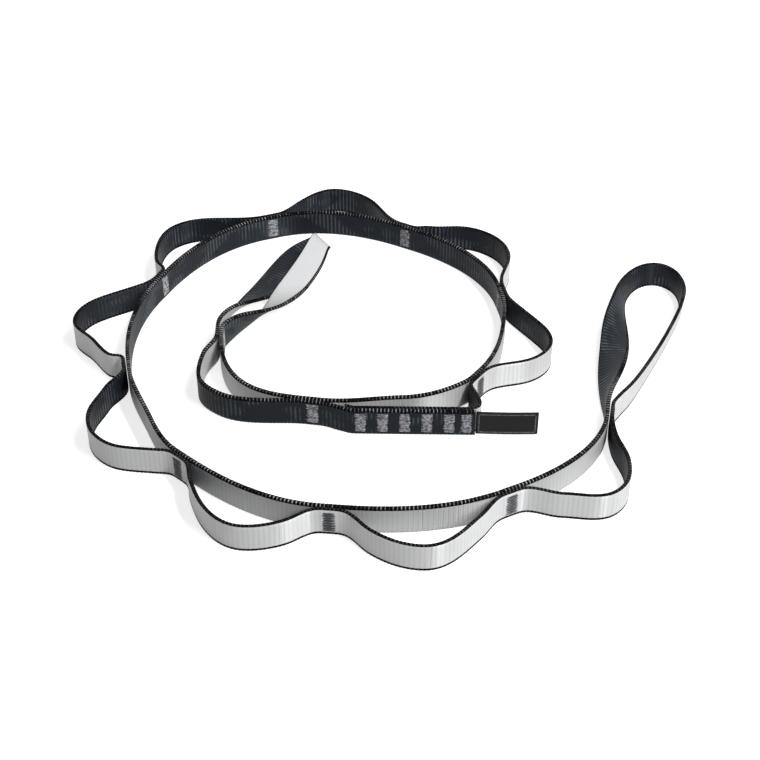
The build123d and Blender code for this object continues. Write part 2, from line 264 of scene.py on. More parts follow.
class ChainStage(bpy.types.PropertyGroup):
    """The floor and the studio light."""
    floor: bpy.props.FloatVectorProperty(
        name="Floor", description="Colour of the floor", default=(0.5, 0.5, 0.5),
        min=0.0, max=1.0, subtype="COLOR")
    glow: bpy.props.FloatProperty(
        name="Floor glow", description="How much the floor is lifted towards white where it is seen",
        default=0.76, min=0.0, max=1.0)
    sky: bpy.props.FloatProperty(
        name="Sky level", description="Strength of the even light from all round",
        default=0.14, min=0.0, max=2.0)
    key: bpy.props.FloatProperty(
        name="Key light", description="Power of the strip softbox, in front and to the right",
        default=16.5, min=0.0, max=100.0, unit="POWER")
    back: bpy.props.FloatProperty(
        name="Back light", description="Power of the wide softbox behind", default=1.2, min=0.0,
        max=100.0, unit="POWER")
    side: bpy.props.FloatProperty(
        name="Side light", description="Power of the softbox on the right", default=3.0, min=0.0,
        max=100.0, unit="POWER")


# ---------------------------------------------------------------- the strap's line
def facing(heading):
    return np.array([math.cos(math.radians(heading)), math.sin(math.radians(heading))])


def step(station, along, across):
    """The station moved along its heading, and across it to the left."""
    u = facing(station[2])
    return (station[0] + along * u[0] - across * u[1],
            station[1] + along * u[1] + across * u[0], station[2])


def plan_line(stations):
    """Dense plan points of webbing that passes the stations on their headings."""
    out = []
    for (x0, y0, h0), (x1, y1, h1) in zip(stations[:-1], stations[1:]):
        p, q = np.array([x0, y0]), np.array([x1, y1])
        chord = np.linalg.norm(q - p)
        towards = (q - p) / chord
        t0, t1 = facing(h0), facing(h1)
        swing = sum(math.acos(max(-1.0, min(1.0, float(t @ towards)))) for t in (t0, t1))
        pull = chord if swing < 1e-4 else 2 * chord * math.tan(swing / 4) / math.sin(swing / 2)
        n = max(2, int(chord / 0.2))
        t = (np.arange(n) / n)[:, None]
        out.append((2 * t**3 - 3 * t**2 + 1) * p + (t**3 - 2 * t**2 + t) * pull * t0
                   + (3 * t**2 - 2 * t**3) * q + (t**3 - t**2) * pull * t1)
    out.append(np.array([stations[-1][:2]]))
    return np.concatenate(out)


def standing(plan, up):
    """Rows of middle and half width for webbing that stands on its edge."""
    n = len(plan)
    middle = np.column_stack([plan, np.full(n, HALF_WIDTH)])
    half = np.tile([0.0, 0.0, HALF_WIDTH * up], (n, 1))
    return np.hstack([middle, half])


def route_points(points):
    """The smooth line of a route, read from its NURBS spline."""
    curve = bpy.data.curves.new("route", "CURVE")
    curve.dimensions = "3D"
    curve.resolution_u = 32
    spline = curve.splines.new("NURBS")
    spline.points.add(len(points) - 1)
    for point, place in zip(spline.points, points):
        point.co = (*[float(x) for x in place], 1.0)
    spline.order_u = 3
    spline.use_endpoint_u = True
    holder = bpy.data.objects.new("route", curve)
    mesh = bpy.data.meshes.new_from_object(holder)
    line = np.array([v.co for v in mesh.vertices], float).reshape(-1, 3)
    bpy.data.meshes.remove(mesh)
    bpy.data.objects.remove(holder)
    bpy.data.curves.remove(curve)
    return line


def loop_rows(middles, halves):
    """Rows of an end loop: its route, and its half width turning along with it."""
    return np.hstack([route_points(middles), route_points(halves)])


def outer_loop_rows():
    tack = TACKS[0]
    middles, halves = [], []
    for along in (-BEND_LEAD, -BEND_LEAD - 4.0):
        x, y, _ = step(tack, along, 0)
        middles.append((x, y, HALF_WIDTH))
        halves.append((0, 0, HALF_WIDTH))
    for x, y, z, azimuth, lean in OUTER_LOOP:
        u = facing(azimuth)
        side, rise = math.sin(math.radians(lean)), math.cos(math.radians(lean))
        middles.append((x, y, z))
        halves.append(tuple(HALF_WIDTH * v for v in (side * u[0], side * u[1], rise)))
    x, y, _ = step(tack, -BEND_LEAD, STRAND_STEP)
    middles.append((x, y, HALF_WIDTH))
    halves.append((0, 0, -HALF_WIDTH))
    return loop_rows(middles, halves)


def inner_loop_rows():
    """From the pocket's side of the last tack round to the spine's side."""
    tack = TACKS[-1]
    x, y, _ = step(tack, TACK_FLAT, 0)
    middles, halves = [(x, y, HALF_WIDTH)], [(0, 0, HALF_WIDTH)]
    for first, second in INNER_LOOP:
        middles.append([(a + b) / 2 for a, b in zip(first, second)])
        halves.append([(b - a) / 2 for a, b in zip(first, second)])
    x, y, _ = step(tack, TACK_FLAT, STRAND_STEP)
    middles.append((x, y, HALF_WIDTH))
    halves.append((0, 0, HALF_WIDTH))
    return loop_rows(middles[::-1], halves[::-1])


def softened(values, reach):
    """The rows, eased along the strap over a few millimetres, with their ends kept."""
    n = int(4 * reach / ROW_STEP)
    kernel = np.exp(-0.5 * (np.arange(-n, n + 1) * ROW_STEP / reach) ** 2)
    kernel /= kernel.sum()
    wide = np.pad(values, ((n, n), (0, 0)), mode="reflect", reflect_type="odd")
    return np.stack([np.convolve(wide[:, k], kernel, mode="valid") for k in range(values.shape[1])], 1)


def strap_line():
    """The whole strap as one line, from its near cut end to its far one: middles, widths and
    normals of the dark face, with the run in millimetres of every key place."""
    near = [NEAR_END, step(NEAR_END, SPLICE_RUN, 0), NEAR_BEND]
    for place in (TACKS[10], TACKS[11]):
        near += [step(place, -BEND_LEAD, STRAND_STEP), step(place, TACK_FLAT, STRAND_STEP)]
        if place is TACKS[10]:
            near += POCKET_STATIONS[11]
    spine = []
    for k, tack in enumerate(TACKS, start=1):
        spine += [step(tack, -BEND_LEAD, 0), step(tack, TACK_FLAT, 0)]
        spine += SPINE_STATIONS.get(k, [])
    pockets = []
    for k, tack in enumerate(TACKS[:10], start=1):
        pockets += [step(tack, -BEND_LEAD, STRAND_STEP), step(tack, TACK_FLAT, STRAND_STEP)]
        pockets += POCKET_STATIONS.get(k, [])
    pockets += [FAR_STUB, FAR_FOLD, FAR_LIMB, step(NEAR_END, FAR_TURN_PLACE, -STRAND_STEP),
                step(NEAR_END, SPLICE_RUN, -STRAND_STEP), step(NEAR_BEND, -FAR_END_SHORT, -STRAND_STEP)]
    rows = np.concatenate([
        standing(plan_line(near), 1)[:-1],
        inner_loop_rows()[:-1],
        standing(plan_line(spine)[::-1], 1)[:-1],
        outer_loop_rows()[:-1],
        standing(plan_line(pockets), -1),
    ])
    run = np.concatenate([[0], np.cumsum(np.linalg.norm(np.diff(rows[:, :3], axis=0), axis=1))])
    count = int(run[-1] / ROW_STEP)
    even = np.arange(count + 1) * (run[-1] / count)
    rows = np.stack([np.interp(even, run, rows[:, k]) for k in range(6)], 1)
    middle = softened(rows[:, :3], MIDDLE_EASE)
    width = softened(rows[:, 3:], WIDTH_EASE)
    width /= np.linalg.norm(width, axis=1)[:, None]
    along = np.gradient(middle, axis=0)
    along /= np.linalg.norm(along, axis=1)[:, None]
    normal = np.cross(width, along)
    normal /= np.linalg.norm(normal, axis=1)[:, None]
    low = middle[:, 2] - HALF_WIDTH * np.abs(width[:, 2]) - HALF_THICK * np.abs(normal[:, 2])
    middle[:, 2] += softened(np.maximum(FLOOR_GAP - low, 0)[:, None], 2.0)[:, 0]
    middle[:, :2] -= COIL_MIDDLE
    return {"run": even, "middle": middle, "width": width, "normal": normal}


def nearest_run(line, station, low=0.0, high=1e9):
    """The run at which the strap passes closest to a plan station, between two runs."""
    place = np.array([station[0] - COIL_MIDDLE[0], station[1] - COIL_MIDDLE[1]])
    inside = np.where((line["run"] >= low) & (line["run"] <= high))[0]
    off = np.linalg.norm(line["middle"][inside][:, :2] - place, axis=1)
    return int(inside[off.argmin()])


STRAP = {}


def strap():
    """The strap's line and the rows where its pieces meet, worked out once."""
    if STRAP:
        return STRAP
    line = strap_line()
    total = line["run"][-1]
    # Runs that part the near strand, the spine and the pockets from one another.
    tip = nearest_run(line, (-36.0, 148.0, 0))
    far_tip = nearest_run(line, (163.0, 110.0, 0))
    spine_from, spine_to = line["run"][tip], line["run"][far_tip]
    cuts = {"start": 0, "end": len(line["run"]) - 1}
    cuts["pocket_tack_11"] = nearest_run(line, step(TACKS[10], 0, STRAND_STEP), 0, spine_from)
    cuts["pocket_tack_12"] = nearest_run(line, step(TACKS[11], 0, STRAND_STEP), 0, spine_from)
    cuts["inner_from"] = nearest_run(line, step(TACKS[11], INNER_SEAM, STRAND_STEP), 0, spine_from)
    cuts["inner_to"] = nearest_run(line, step(TACKS[11], INNER_SEAM, 0), spine_from, spine_to)
    for k, tack in enumerate(TACKS, start=1):
        cuts["spine_tack_%02d" % k] = nearest_run(line, tack, spine_from, spine_to)
        if k <= 10:
            cuts["pocket_tack_%02d" % k] = nearest_run(line, step(tack, 0, STRAND_STEP), spine_to, total)
    cuts["outer_from"] = cuts["spine_tack_01"] - round(OUTER_SEAM / ROW_STEP)
    cuts["outer_to"] = cuts["pocket_tack_01"] + round(OUTER_SEAM / ROW_STEP)
    STRAP.update(line=line, cuts=cuts)
    return STRAP


def mid(cuts, a, b):
    return (cuts[a] + cuts[b]) // 2


# ---------------------------------------------------------------- meshes
def mesh_object(name, points, faces, materials, of_face, smooth=True):
    mesh = bpy.data.meshes.new(name)
    mesh.from_pydata([tuple(p) for p in points], [], faces)
    for material in materials:
        mesh.materials.append(material)
    mesh.polygons.foreach_set("material_index", np.asarray(of_face, np.int32))
    mesh.polygons.foreach_set("use_smooth", np.full(len(faces), smooth))
    mesh.update()
    obj = bpy.data.objects.new(name, mesh)
    bpy.context.scene.collection.objects.link(obj)
    return obj


def section(settings):
    """The strap's cross-section, round from one selvedge: place across, place out of the face,
    how much the ribs move it, and the face that follows (dark, pale or selvedge)."""
    half, thick = settings.width / 2, settings.thick / 2
    lip, thin = settings.selvedge, settings.thin_selvedge
    columns = np.linspace(-half + thin, half - lip, 9)
    level = FACE_LEVEL * thick
    ring = [(v, level, 1.0, 0) for v in columns[:-1]] + [(columns[-1], level, 1.0, 2)]
    turn = [(half - 0.5 * lip, 0.99 * thick), (half - 0.12 * lip, 0.92 * thick),
            (half, 0.55 * thick), (half, -0.55 * thick),
            (half - 0.12 * lip, -0.92 * thick), (half - 0.5 * lip, -0.99 * thick)]
    ring += [(v, h, 0.0, 2) for v, h in turn]
    ring += [(v, -level, 1.0, 1) for v in columns[:0:-1]] + [(columns[0], -level, 1.0, 2)]
    sharp = [(half - 0.4 * thin, 0.72 * thick), (half, 0.35 * thick),
             (half, -0.35 * thick), (half - 0.4 * thin, -0.72 * thick)]
    ring += [(-v, h, 0.0, 2) for v, h in sharp[::-1]]
    return ring


def ribbon(name, first, last, settings, materials):
    """A stretch of the strap between two rows, with its ribs and its corded selvedges."""
    line = strap()["line"]
    pick = slice(first, last + 1)
    middle, width, normal = (line[k][pick] for k in ("middle", "width", "normal"))
    run = line["run"][pick] * MM
    ring = section(settings)
    phase = 2 * math.pi * run / settings.rib_pitch
    groove = (0.5 - 0.5 * np.cos(phase)) ** 1.6
    cord = 0.5 - 0.5 * np.cos(2 * math.pi * run / (settings.rib_pitch * 0.8))
    n, m = len(run), len(ring)
    points = np.zeros((n, m, 3))
    for j, (v, h, rib, _) in enumerate(ring):
        out = np.full(n, h)
        over = np.full(n, v)
        if rib:
            deep = settings.rib_depth * (1.0 if h > 0 else 0.4)
            out = h - math.copysign(1.0, h) * deep * rib * (groove if h > 0 else np.roll(groove, 2))
        else:
            out = h * (1 - 0.08 * cord)
            over = v - math.copysign(1.0, v) * 0.0001 * cord
        points[:, j] = middle * MM + over[:, None] * width + out[:, None] * normal
    of_face = [face for _, _, _, face in ring] * (n - 1) + [2, 2]
    obj = mesh_object(name, points.reshape(-1, 3), tube_faces(n, m), materials, of_face)
    layer = obj.data.uv_layers.new(name="Weave")
    across = np.array([v for v, _, _, _ in ring])
    uv = np.stack([np.tile(across, n), np.repeat(run, m)], 1) * 10.0
    corners = np.zeros(len(obj.data.loops), np.int32)
    obj.data.loops.foreach_get("vertex_index", corners)
    layer.uv.foreach_set("vector", uv[corners].astype(np.float32).ravel())
    flatten_ends(obj)
    return obj


def upright_frame(station):
    """The point half way up the strap at a station, and the directions ahead and to the left."""
    x, y, heading = station
    u = facing(heading)
    base = np.array([(x - COIL_MIDDLE[0]) * MM, (y - COIL_MIDDLE[1]) * MM, HALF_WIDTH * MM])
    return base, np.array([u[0], u[1], 0]), np.array([-u[1], u[0], 0])


def tube_faces(rings, rim, closed=False):
    """Faces round a tube of rings of points, with its ends capped unless it closes on itself."""
    faces = []
    for i in range(rings if closed else rings - 1):
        a, b = i * rim, (i + 1) % rings * rim
        for j in range(rim):
            k = (j + 1) % rim
            faces.append((a + j, a + k, b + k, b + j))
    if not closed:
        faces += [tuple(range(rim))[::-1], tuple(range((rings - 1) * rim, rings * rim))]
    return faces


def flatten_ends(obj):
    """The two caps, which are a tube's last faces, are shaded flat."""
    count = len(obj.data.polygons)
    for i in (count - 2, count - 1):
        obj.data.polygons[i].use_smooth = False


def thread_patch(station, run, rise, thread, passes, face, seed):
    """Zigzag thread over one face of the webbing: points and faces of its tube. face is the
    place across the station's heading of the webbing's surface, signed outwards."""
    draw = np.random.default_rng(seed)
    base, ahead, left = upright_frame(station)
    outward = math.copysign(1.0, face)
    path, lift = [], []
    for i in range(passes + 1):
        level = rise * (i / passes - 0.5)
        reach = run / 2 * (1 - 0.28 * draw.random() ** 2)
        ends = (-reach, reach) if i % 2 == 0 else (reach, -reach)
        slope = rise / passes * (0.2 + 0.7 * draw.random())
        for t in np.linspace(0, 1, 9):
            path.append((ends[0] + (ends[1] - ends[0]) * t, level + slope * (t - 0.5)))
            lift.append(thread * (0.62 * math.sin(math.pi * t) ** 0.35 - 0.25))
    path, lift = np.array(path), np.array(lift)
    line = (base + path[:, :1] * ahead + path[:, 1:] * np.array([0, 0, 1.0])
            + (face + outward * lift[:, None]) * left)
    forward = np.gradient(line, axis=0)
    forward /= np.linalg.norm(forward, axis=1)[:, None] + 1e-12
    side = np.cross(forward, left * outward)
    side /= np.linalg.norm(side, axis=1)[:, None] + 1e-12
    rim = 6
    angles = 2 * math.pi * np.arange(rim) / rim
    rings = (line[:, None] + thread / 2 * (np.cos(angles)[None, :, None] * side[:, None]
             + 0.8 * np.sin(angles)[None, :, None] * (left * outward)))
    return rings.reshape(-1, 3), tube_faces(len(line), rim)


def tack_object(name, patches, materials):
    """Several patches of thread as one piece. A patch is its points, faces and material."""
    points, faces, of_face, count = [], [], [], 0
    for some, these, material in patches:
        points.append(some)
        faces += [tuple(i + count for i in f) for f in these]
        of_face += [material] * len(these)
        count += len(some)
    return mesh_object(name, np.concatenate(points), faces, materials, of_face)


# ---------------------------------------------------------------- materials
def new_material(name):
    material = bpy.data.materials.new(name)
    material.use_nodes = True
    tree = material.node_tree
    return material, tree, tree.nodes["Principled BSDF"]


def node(tree, kind, **inputs):
    """A node with its inputs by name or number: values are set and sockets are linked."""
    made = tree.nodes.new(kind)
    for key, value in inputs.items():
        if key.startswith("set_"):
            setattr(made, key[4:], value)
            continue
        socket = made.inputs[int(key[1:])] if key[0] == "i" and key[1:].isdigit() else made.inputs[key]
        if isinstance(value, bpy.types.NodeSocket):
            tree.links.new(value, socket)
        else:
            socket.default_value = value
    return made


def maths(tree, operation, a, b=0.0):
    return node(tree, "ShaderNodeMath", set_operation=operation, i0=a, i1=b).outputs[0]


def seen_directly(tree):
    """1 for rays from the camera, and for what gloss and glass show; 0 for light."""
    paths = node(tree, "ShaderNodeLightPath").outputs
    shown = maths(tree, "MAXIMUM", paths["Is Camera Ray"], paths["Is Glossy Ray"])
    return maths(tree, "MAXIMUM", shown, paths["Is Transmission Ray"])


def weave_places(tree):
    """Places across and along the strap, in millimetres, from its weave map."""
    weave = node(tree, "ShaderNodeUVMap", set_uv_map="Weave").outputs[0]
    parts = node(tree, "ShaderNodeSeparateXYZ", i0=weave)
    return (maths(tree, "MULTIPLY", parts.outputs[0], 100.0),
            maths(tree, "MULTIPLY", parts.outputs[1], 100.0))


def waves(tree, place, pitch, shift=0.0):
    """A wave from 0 to 1 along a place in millimetres."""
    turns = maths(tree, "ADD", maths(tree, "MULTIPLY", place, 2 * math.pi / pitch), shift)
    return maths(tree, "ADD", maths(tree, "MULTIPLY", maths(tree, "SINE", turns), 0.5), 0.5)


def shade(tree, colour, factor):
    """A colour times a factor."""
    return node(tree, "ShaderNodeVectorMath", set_operation="SCALE", i0=colour[:3], Scale=factor).outputs[0]


def webbing_face(name, colour, rough, pitch, dark_face, painted_glint=None):
    material, tree, shader = new_material(name)
    across, along = weave_places(tree)
    spot = node(tree, "ShaderNodeCombineXYZ", X=maths(tree, "MULTIPLY", across, 2.2),
                Y=maths(tree, "MULTIPLY", along, 0.8)).outputs[0]
    yarn = node(tree, "ShaderNodeTexNoise", Vector=spot, Scale=1.0, Detail=3.0, Roughness=0.6).outputs[0]
    broad = node(tree, "ShaderNodeTexNoise", Vector=node(
        tree, "ShaderNodeCombineXYZ", X=maths(tree, "MULTIPLY", across, 0.08),
        Y=maths(tree, "MULTIPLY", along, 0.05)).outputs[0], Scale=1.0, Detail=2.0).outputs[0]
    rib = waves(tree, along, pitch)
    fine = waves(tree, along, pitch / 2, 0.6)
    warp = waves(tree, across, 0.8)
    tone = maths(tree, "ADD", maths(tree, "MULTIPLY", yarn, 0.20), 0.76)
    # The rib term lightens and darkens the colour in stripes along the strap: painted shade between the
    # ribs.
    tone = maths(tree, "ADD", tone, maths(tree, "MULTIPLY", rib, 0.12))
    tone = maths(tree, "ADD", tone, maths(tree, "MULTIPLY", broad, 0.12))
    finish = shade(tree, colour, tone)
    if dark_face:
        # Painted glint: a pale colour is added on the crests of the ribs, in some stretches more than in
        # others, standing in for the satin's highlights.
        stretch = node(tree, "ShaderNodeMapRange", i0=broad, i1=0.49, i2=0.59, i3=0.0, i4=1.0)
        glint_mask = maths(tree, "MULTIPLY", maths(tree, "POWER", rib, 3.0), stretch.outputs[0])
        uneven = maths(tree, "ADD", maths(tree, "MULTIPLY", yarn, 1.6), -0.3)
        glint_mask = maths(tree, "MULTIPLY", glint_mask, uneven)
        finish = node(tree, "ShaderNodeVectorMath", set_operation="ADD", i0=finish,
                      i1=shade(tree, painted_glint, glint_mask)).outputs[0]
    tree.links.new(finish, shader.inputs["Base Color"])
    height = maths(tree, "ADD", maths(tree, "MULTIPLY", fine, 0.45), maths(tree, "MULTIPLY", yarn, 0.8))
    height = maths(tree, "ADD", height, maths(tree, "MULTIPLY", warp, 0.25))
    bump = node(tree, "ShaderNodeBump", Height=height, Strength=0.6, Distance=0.00008)
    tree.links.new(bump.outputs[0], shader.inputs["Normal"])
    gloss = maths(tree, "ADD", maths(tree, "MULTIPLY", yarn, 0.16), rough - 0.08)
    tree.links.new(gloss, shader.inputs["Roughness"])
    tangent = node(tree, "ShaderNodeTangent", set_direction_type="UV_MAP", set_uv_map="Weave")
    tree.links.new(tangent.outputs[0], shader.inputs["Tangent"])
    shader.inputs["Anisotropic"].default_value = 1.0
    shader.inputs["Specular IOR Level"].default_value = 0.24 if dark_face else 0.9
    shader.inputs["Specular Tint"].default_value = (0.72, 0.85, 1.0, 1.0) if dark_face else (1, 1, 1, 1)
    shader.inputs["IOR"].default_value = 1.45 if dark_face else 1.8
    return material


def selvedge_material(settings):
    material, tree, shader = new_material("Selvedge")
    across, along = weave_places(tree)
    dash = waves(tree, along, settings.rib_pitch * 800)
    yarn = node(tree, "ShaderNodeTexNoise", Vector=node(
        tree, "ShaderNodeCombineXYZ", X=maths(tree, "MULTIPLY", across, 1.5),
        Y=maths(tree, "MULTIPLY", along, 0.9)).outputs[0], Scale=1.0, Detail=2.0).outputs[0]
    stretch = node(tree, "ShaderNodeTexNoise", Vector=node(
        tree, "ShaderNodeCombineXYZ", Y=maths(tree, "MULTIPLY", along, 0.035)).outputs[0],
        Scale=1.0, Detail=1.0).outputs[0]
    level = maths(tree, "ADD", dash, maths(tree, "MULTIPLY", yarn, 0.9))
    level = maths(tree, "ADD", level, maths(tree, "MULTIPLY", stretch, 0.8))
    shown = node(tree, "ShaderNodeMapRange", i0=level, i1=1.68, i2=1.95, i3=0.0, i4=1.0).outputs[0]
    bound = maths(tree, "GREATER_THAN", across, settings.width * 500 - 0.8)
    shown = maths(tree, "MULTIPLY", shown, maths(tree, "ADD", maths(tree, "MULTIPLY", bound, 0.7), 0.3))
    mix = node(tree, "ShaderNodeMix", set_data_type="RGBA")
    tree.links.new(shown, mix.inputs[0])
    mix.inputs[6].default_value = (*settings.edge, 1)
    mix.inputs[7].default_value = (*settings.fleck, 1)
    tree.links.new(mix.outputs[2], shader.inputs["Base Color"])
    bump = node(tree, "ShaderNodeBump", Height=maths(tree, "ADD", dash, yarn), Strength=0.7, Distance=0.0001)
    tree.links.new(bump.outputs[0], shader.inputs["Normal"])
    shader.inputs["Roughness"].default_value = 0.7
    shader.inputs["Specular IOR Level"].default_value = 0.02
    return material


def webbing_materials():
    """The strap's three finishes, made once: dark face, pale face and selvedge."""
    found = [bpy.data.materials.get(n) for n in ("Webbing dark face", "Webbing pale face", "Selvedge")]
    if all(found):
        return found
    s = bpy.context.scene.chain_webbing
    pitch = s.rib_pitch * 1000
    # The dark face gets the painted glint colour on its rib crests.
    return [webbing_face("Webbing dark face", s.dark, 0.40, pitch, True, s.painted_glint),
            webbing_face("Webbing pale face", s.pale, 0.38, pitch, False),
            selvedge_material(s)]


def thread_material(name, colour):
    found = bpy.data.materials.get(name)
    if found:
        return found
    material, tree, shader = new_material(name)
    place = node(tree, "ShaderNodeTexCoord").outputs["Object"]
    twist = node(tree, "ShaderNodeTexNoise", Vector=place, Scale=2600.0, Detail=2.0).outputs[0]
    clump = node(tree, "ShaderNodeTexNoise", Vector=place, Scale=700.0, Detail=2.0).outputs[0]
    worn = node(tree, "ShaderNodeMapRange", i0=clump, i1=0.36, i2=0.66, i3=0.25, i4=1.5).outputs[0]
    tone = maths(tree, "MULTIPLY", worn, maths(tree, "ADD", maths(tree, "MULTIPLY", twist, 0.8), 0.6))
    tree.links.new(shade(tree, colour, tone), shader.inputs["Base Color"])
    bump = node(tree, "ShaderNodeBump", Height=twist, Strength=0.5, Distance=0.0001)
    tree.links.new(bump.outputs[0], shader.inputs["Normal"])
    shader.inputs["Roughness"].default_value = 0.45
    return material


def bend_at_tack(obj):
    """Bakes the piece's placement into its mesh."""
    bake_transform(obj)


class CHAIN_OT_spine(bpy.types.Operator):
    """Makes the spine's stretches of webbing, one through each tack"""
    bl_idname = "chain.make_spine"
    bl_label = "Spine"

    def execute(self, context):
        cuts, s = strap()["cuts"], context.scene.chain_webbing
        materials = webbing_materials()
        for k in range(1, 13):
            here = "spine_tack_%02d" % k
            first = cuts["inner_to"] if k == 12 else mid(cuts, here, "spine_tack_%02d" % (k + 1))
            last = cuts["outer_from"] if k == 1 else mid(cuts, here, "spine_tack_%02d" % (k - 1))
            piece = ribbon("spine_webbing_%02d" % k, first, last, s, materials)
            bend_at_tack(piece)
            if k < 12:
                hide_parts("spine_%02d" % k)
        return {"FINISHED"}


class CHAIN_OT_pockets(bpy.types.Operator):
    """Makes the pockets' stretches of webbing, one through each tack"""
    bl_idname = "chain.make_pockets"
    bl_label = "Pockets"

    def execute(self, context):
        cuts, s = strap()["cuts"], context.scene.chain_webbing
        materials = webbing_materials()
        for k in range(1, 10):
            here = "pocket_tack_%02d" % k
            first = cuts["outer_to"] if k == 1 else mid(cuts, "pocket_tack_%02d" % (k - 1), here)
            last = mid(cuts, here, "pocket_tack_%02d" % (k + 1))
            piece = ribbon("pocket_webbing_%02d" % k, first, last, s, materials)
            bend_at_tack(piece)
            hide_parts("pocket_%02d" % k)
        piece = ribbon("pocket_webbing_12", mid(cuts, "pocket_tack_11", "pocket_tack_12"),
                       cuts["inner_from"], s, materials)
        bend_at_tack(piece)
        return {"FINISHED"}


class CHAIN_OT_splice(bpy.types.Operator):
    """Makes the strap's near and far ends, which lie against each other at the splice"""
    bl_idname = "chain.make_splice"
    bl_label = "Splice"

    def execute(self, context):
        cuts, s = strap()["cuts"], context.scene.chain_webbing
        materials = webbing_materials()
        near = ribbon("near_end_webbing", cuts["start"],
                      mid(cuts, "pocket_tack_11", "pocket_tack_12"), s, materials)
        bend_at_tack(near)
        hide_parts("splice_near_strand", "pocket_11")
        far = ribbon("far_end_webbing", mid(cuts, "pocket_tack_09", "pocket_tack_10"), cuts["end"],
                     s, materials)
        bend_at_tack(far)
        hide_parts("splice_far_strand")
        return {"FINISHED"}


def end_loop(name, first, last, body, node_name, context):
    """One eye of the strap, a loose loop from a tack and back to it."""
    piece = ribbon(name, first, last, context.scene.chain_webbing, webbing_materials())
    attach(piece, body)
    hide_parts(node_name)
    line = strap()["line"]
    path = line["middle"][first:last + 1:5] * MM
    length = float(line["run"][last] - line["run"][first]) * MM
    return piece, path, length


class CHAIN_OT_outer_loop(bpy.types.Operator):
    """Makes the outer end loop, which turns half over on its way round"""
    bl_idname = "chain.make_outer_loop"
    bl_label = "Outer end loop"

    def execute(self, context):
        cuts = strap()["cuts"]
        piece, path, length = end_loop("outer_loop_webbing", cuts["outer_from"], cuts["outer_to"],
                                       "outer_loop", "outer_end_loop", context)
        return {"FINISHED"}


class CHAIN_OT_inner_loop(bpy.types.Operator):
    """Makes the inner end loop, which lies over on itself"""
    bl_idname = "chain.make_inner_loop"
    bl_label = "Inner end loop"

    def execute(self, context):
        cuts = strap()["cuts"]
        piece, path, length = end_loop("inner_loop_webbing", cuts["inner_from"], cuts["inner_to"],
                                       "inner_loop", "inner_end_loop", context)
        return {"FINISHED"}


class CHAIN_OT_bar_tacks(bpy.types.Operator):
    """Sews the bar tacks between the pockets"""
    bl_idname = "chain.make_bar_tacks"
    bl_label = "Bar tacks"

    def execute(self, context):
        s, strap_thick = context.scene.chain_stitching, context.scene.chain_webbing.thick
        threads = [thread_material("Pale thread", s.pale), thread_material("Dark thread", s.dark)]
        outer = STRAND_STEP * MM + strap_thick / 2 * FACE_LEVEL
        inner = -strap_thick / 2 * FACE_LEVEL
        for k, tack in enumerate(TACKS, start=1):
            outer_thread = 0 if k > 10 else 1
            patches = [
                (*thread_patch(tack, s.run, s.rise, s.thread, s.passes, inner, k), 0),
                (*thread_patch(tack, s.run, s.rise, s.thread, s.passes, outer, 20 + k), outer_thread),
            ]
            piece = tack_object("bar_tack_%02d" % k, patches, threads)
            bend_at_tack(piece)
            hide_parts("tack_%02d" % k)
        return {"FINISHED"}


class CHAIN_OT_splice_tacks(bpy.types.Operator):
    """Sews the row of tacks that closes the splice"""
    bl_idname = "chain.make_splice_tacks"
    bl_label = "Splice tacks"

    def execute(self, context):
        s, strap_thick = context.scene.chain_stitching, context.scene.chain_webbing.thick
        threads = [thread_material("Pale thread", s.pale), thread_material("Dark thread", s.dark)]
        front = strap_thick / 2 * FACE_LEVEL
        back = -STRAND_STEP * MM - strap_thick / 2 * FACE_LEVEL
        for i, along in enumerate(SPLICE_TACKS, start=1):
            place = step(NEAR_END, along, 0)
            patches = [
                (*thread_patch(place, s.splice_run, s.rise, s.thread, s.passes, front, 40 + i), 0),
                (*thread_patch(place, s.splice_run, s.rise, s.thread, s.passes, back, 60 + i), 0),
            ]
            piece = tack_object("splice_tack_thread_%d" % i, patches, threads)
            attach(piece, "cell_10")
            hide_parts("splice_tack_%d" % i)
        return {"FINISHED"}


def label_material(settings):
    material, tree, shader = new_material("Label tape")
    place = node(tree, "ShaderNodeTexCoord").outputs["Object"]
    parts = node(tree, "ShaderNodeSeparateXYZ", i0=place)
    weft = waves(tree, maths(tree, "MULTIPLY", parts.outputs[2], 1000.0), 0.35)
    warp = waves(tree, maths(tree, "MULTIPLY", parts.outputs[0], 1000.0), 0.45)
    dust = node(tree, "ShaderNodeTexNoise", Vector=place, Scale=900.0, Detail=3.0).outputs[0]
    tone = maths(tree, "ADD", maths(tree, "MULTIPLY", dust, 0.8), maths(tree, "MULTIPLY", weft, 0.35))
    tree.links.new(shade(tree, settings.cloth, maths(tree, "ADD", tone, 0.45)), shader.inputs["Base Color"])
    height = maths(tree, "ADD", weft, maths(tree, "MULTIPLY", warp, 0.6))
    bump = node(tree, "ShaderNodeBump", Height=height, Strength=0.4, Distance=0.00005)
    tree.links.new(bump.outputs[0], shader.inputs["Normal"])
    shader.inputs["Roughness"].default_value = 0.5
    shader.inputs["Specular IOR Level"].default_value = 0.12
    return material


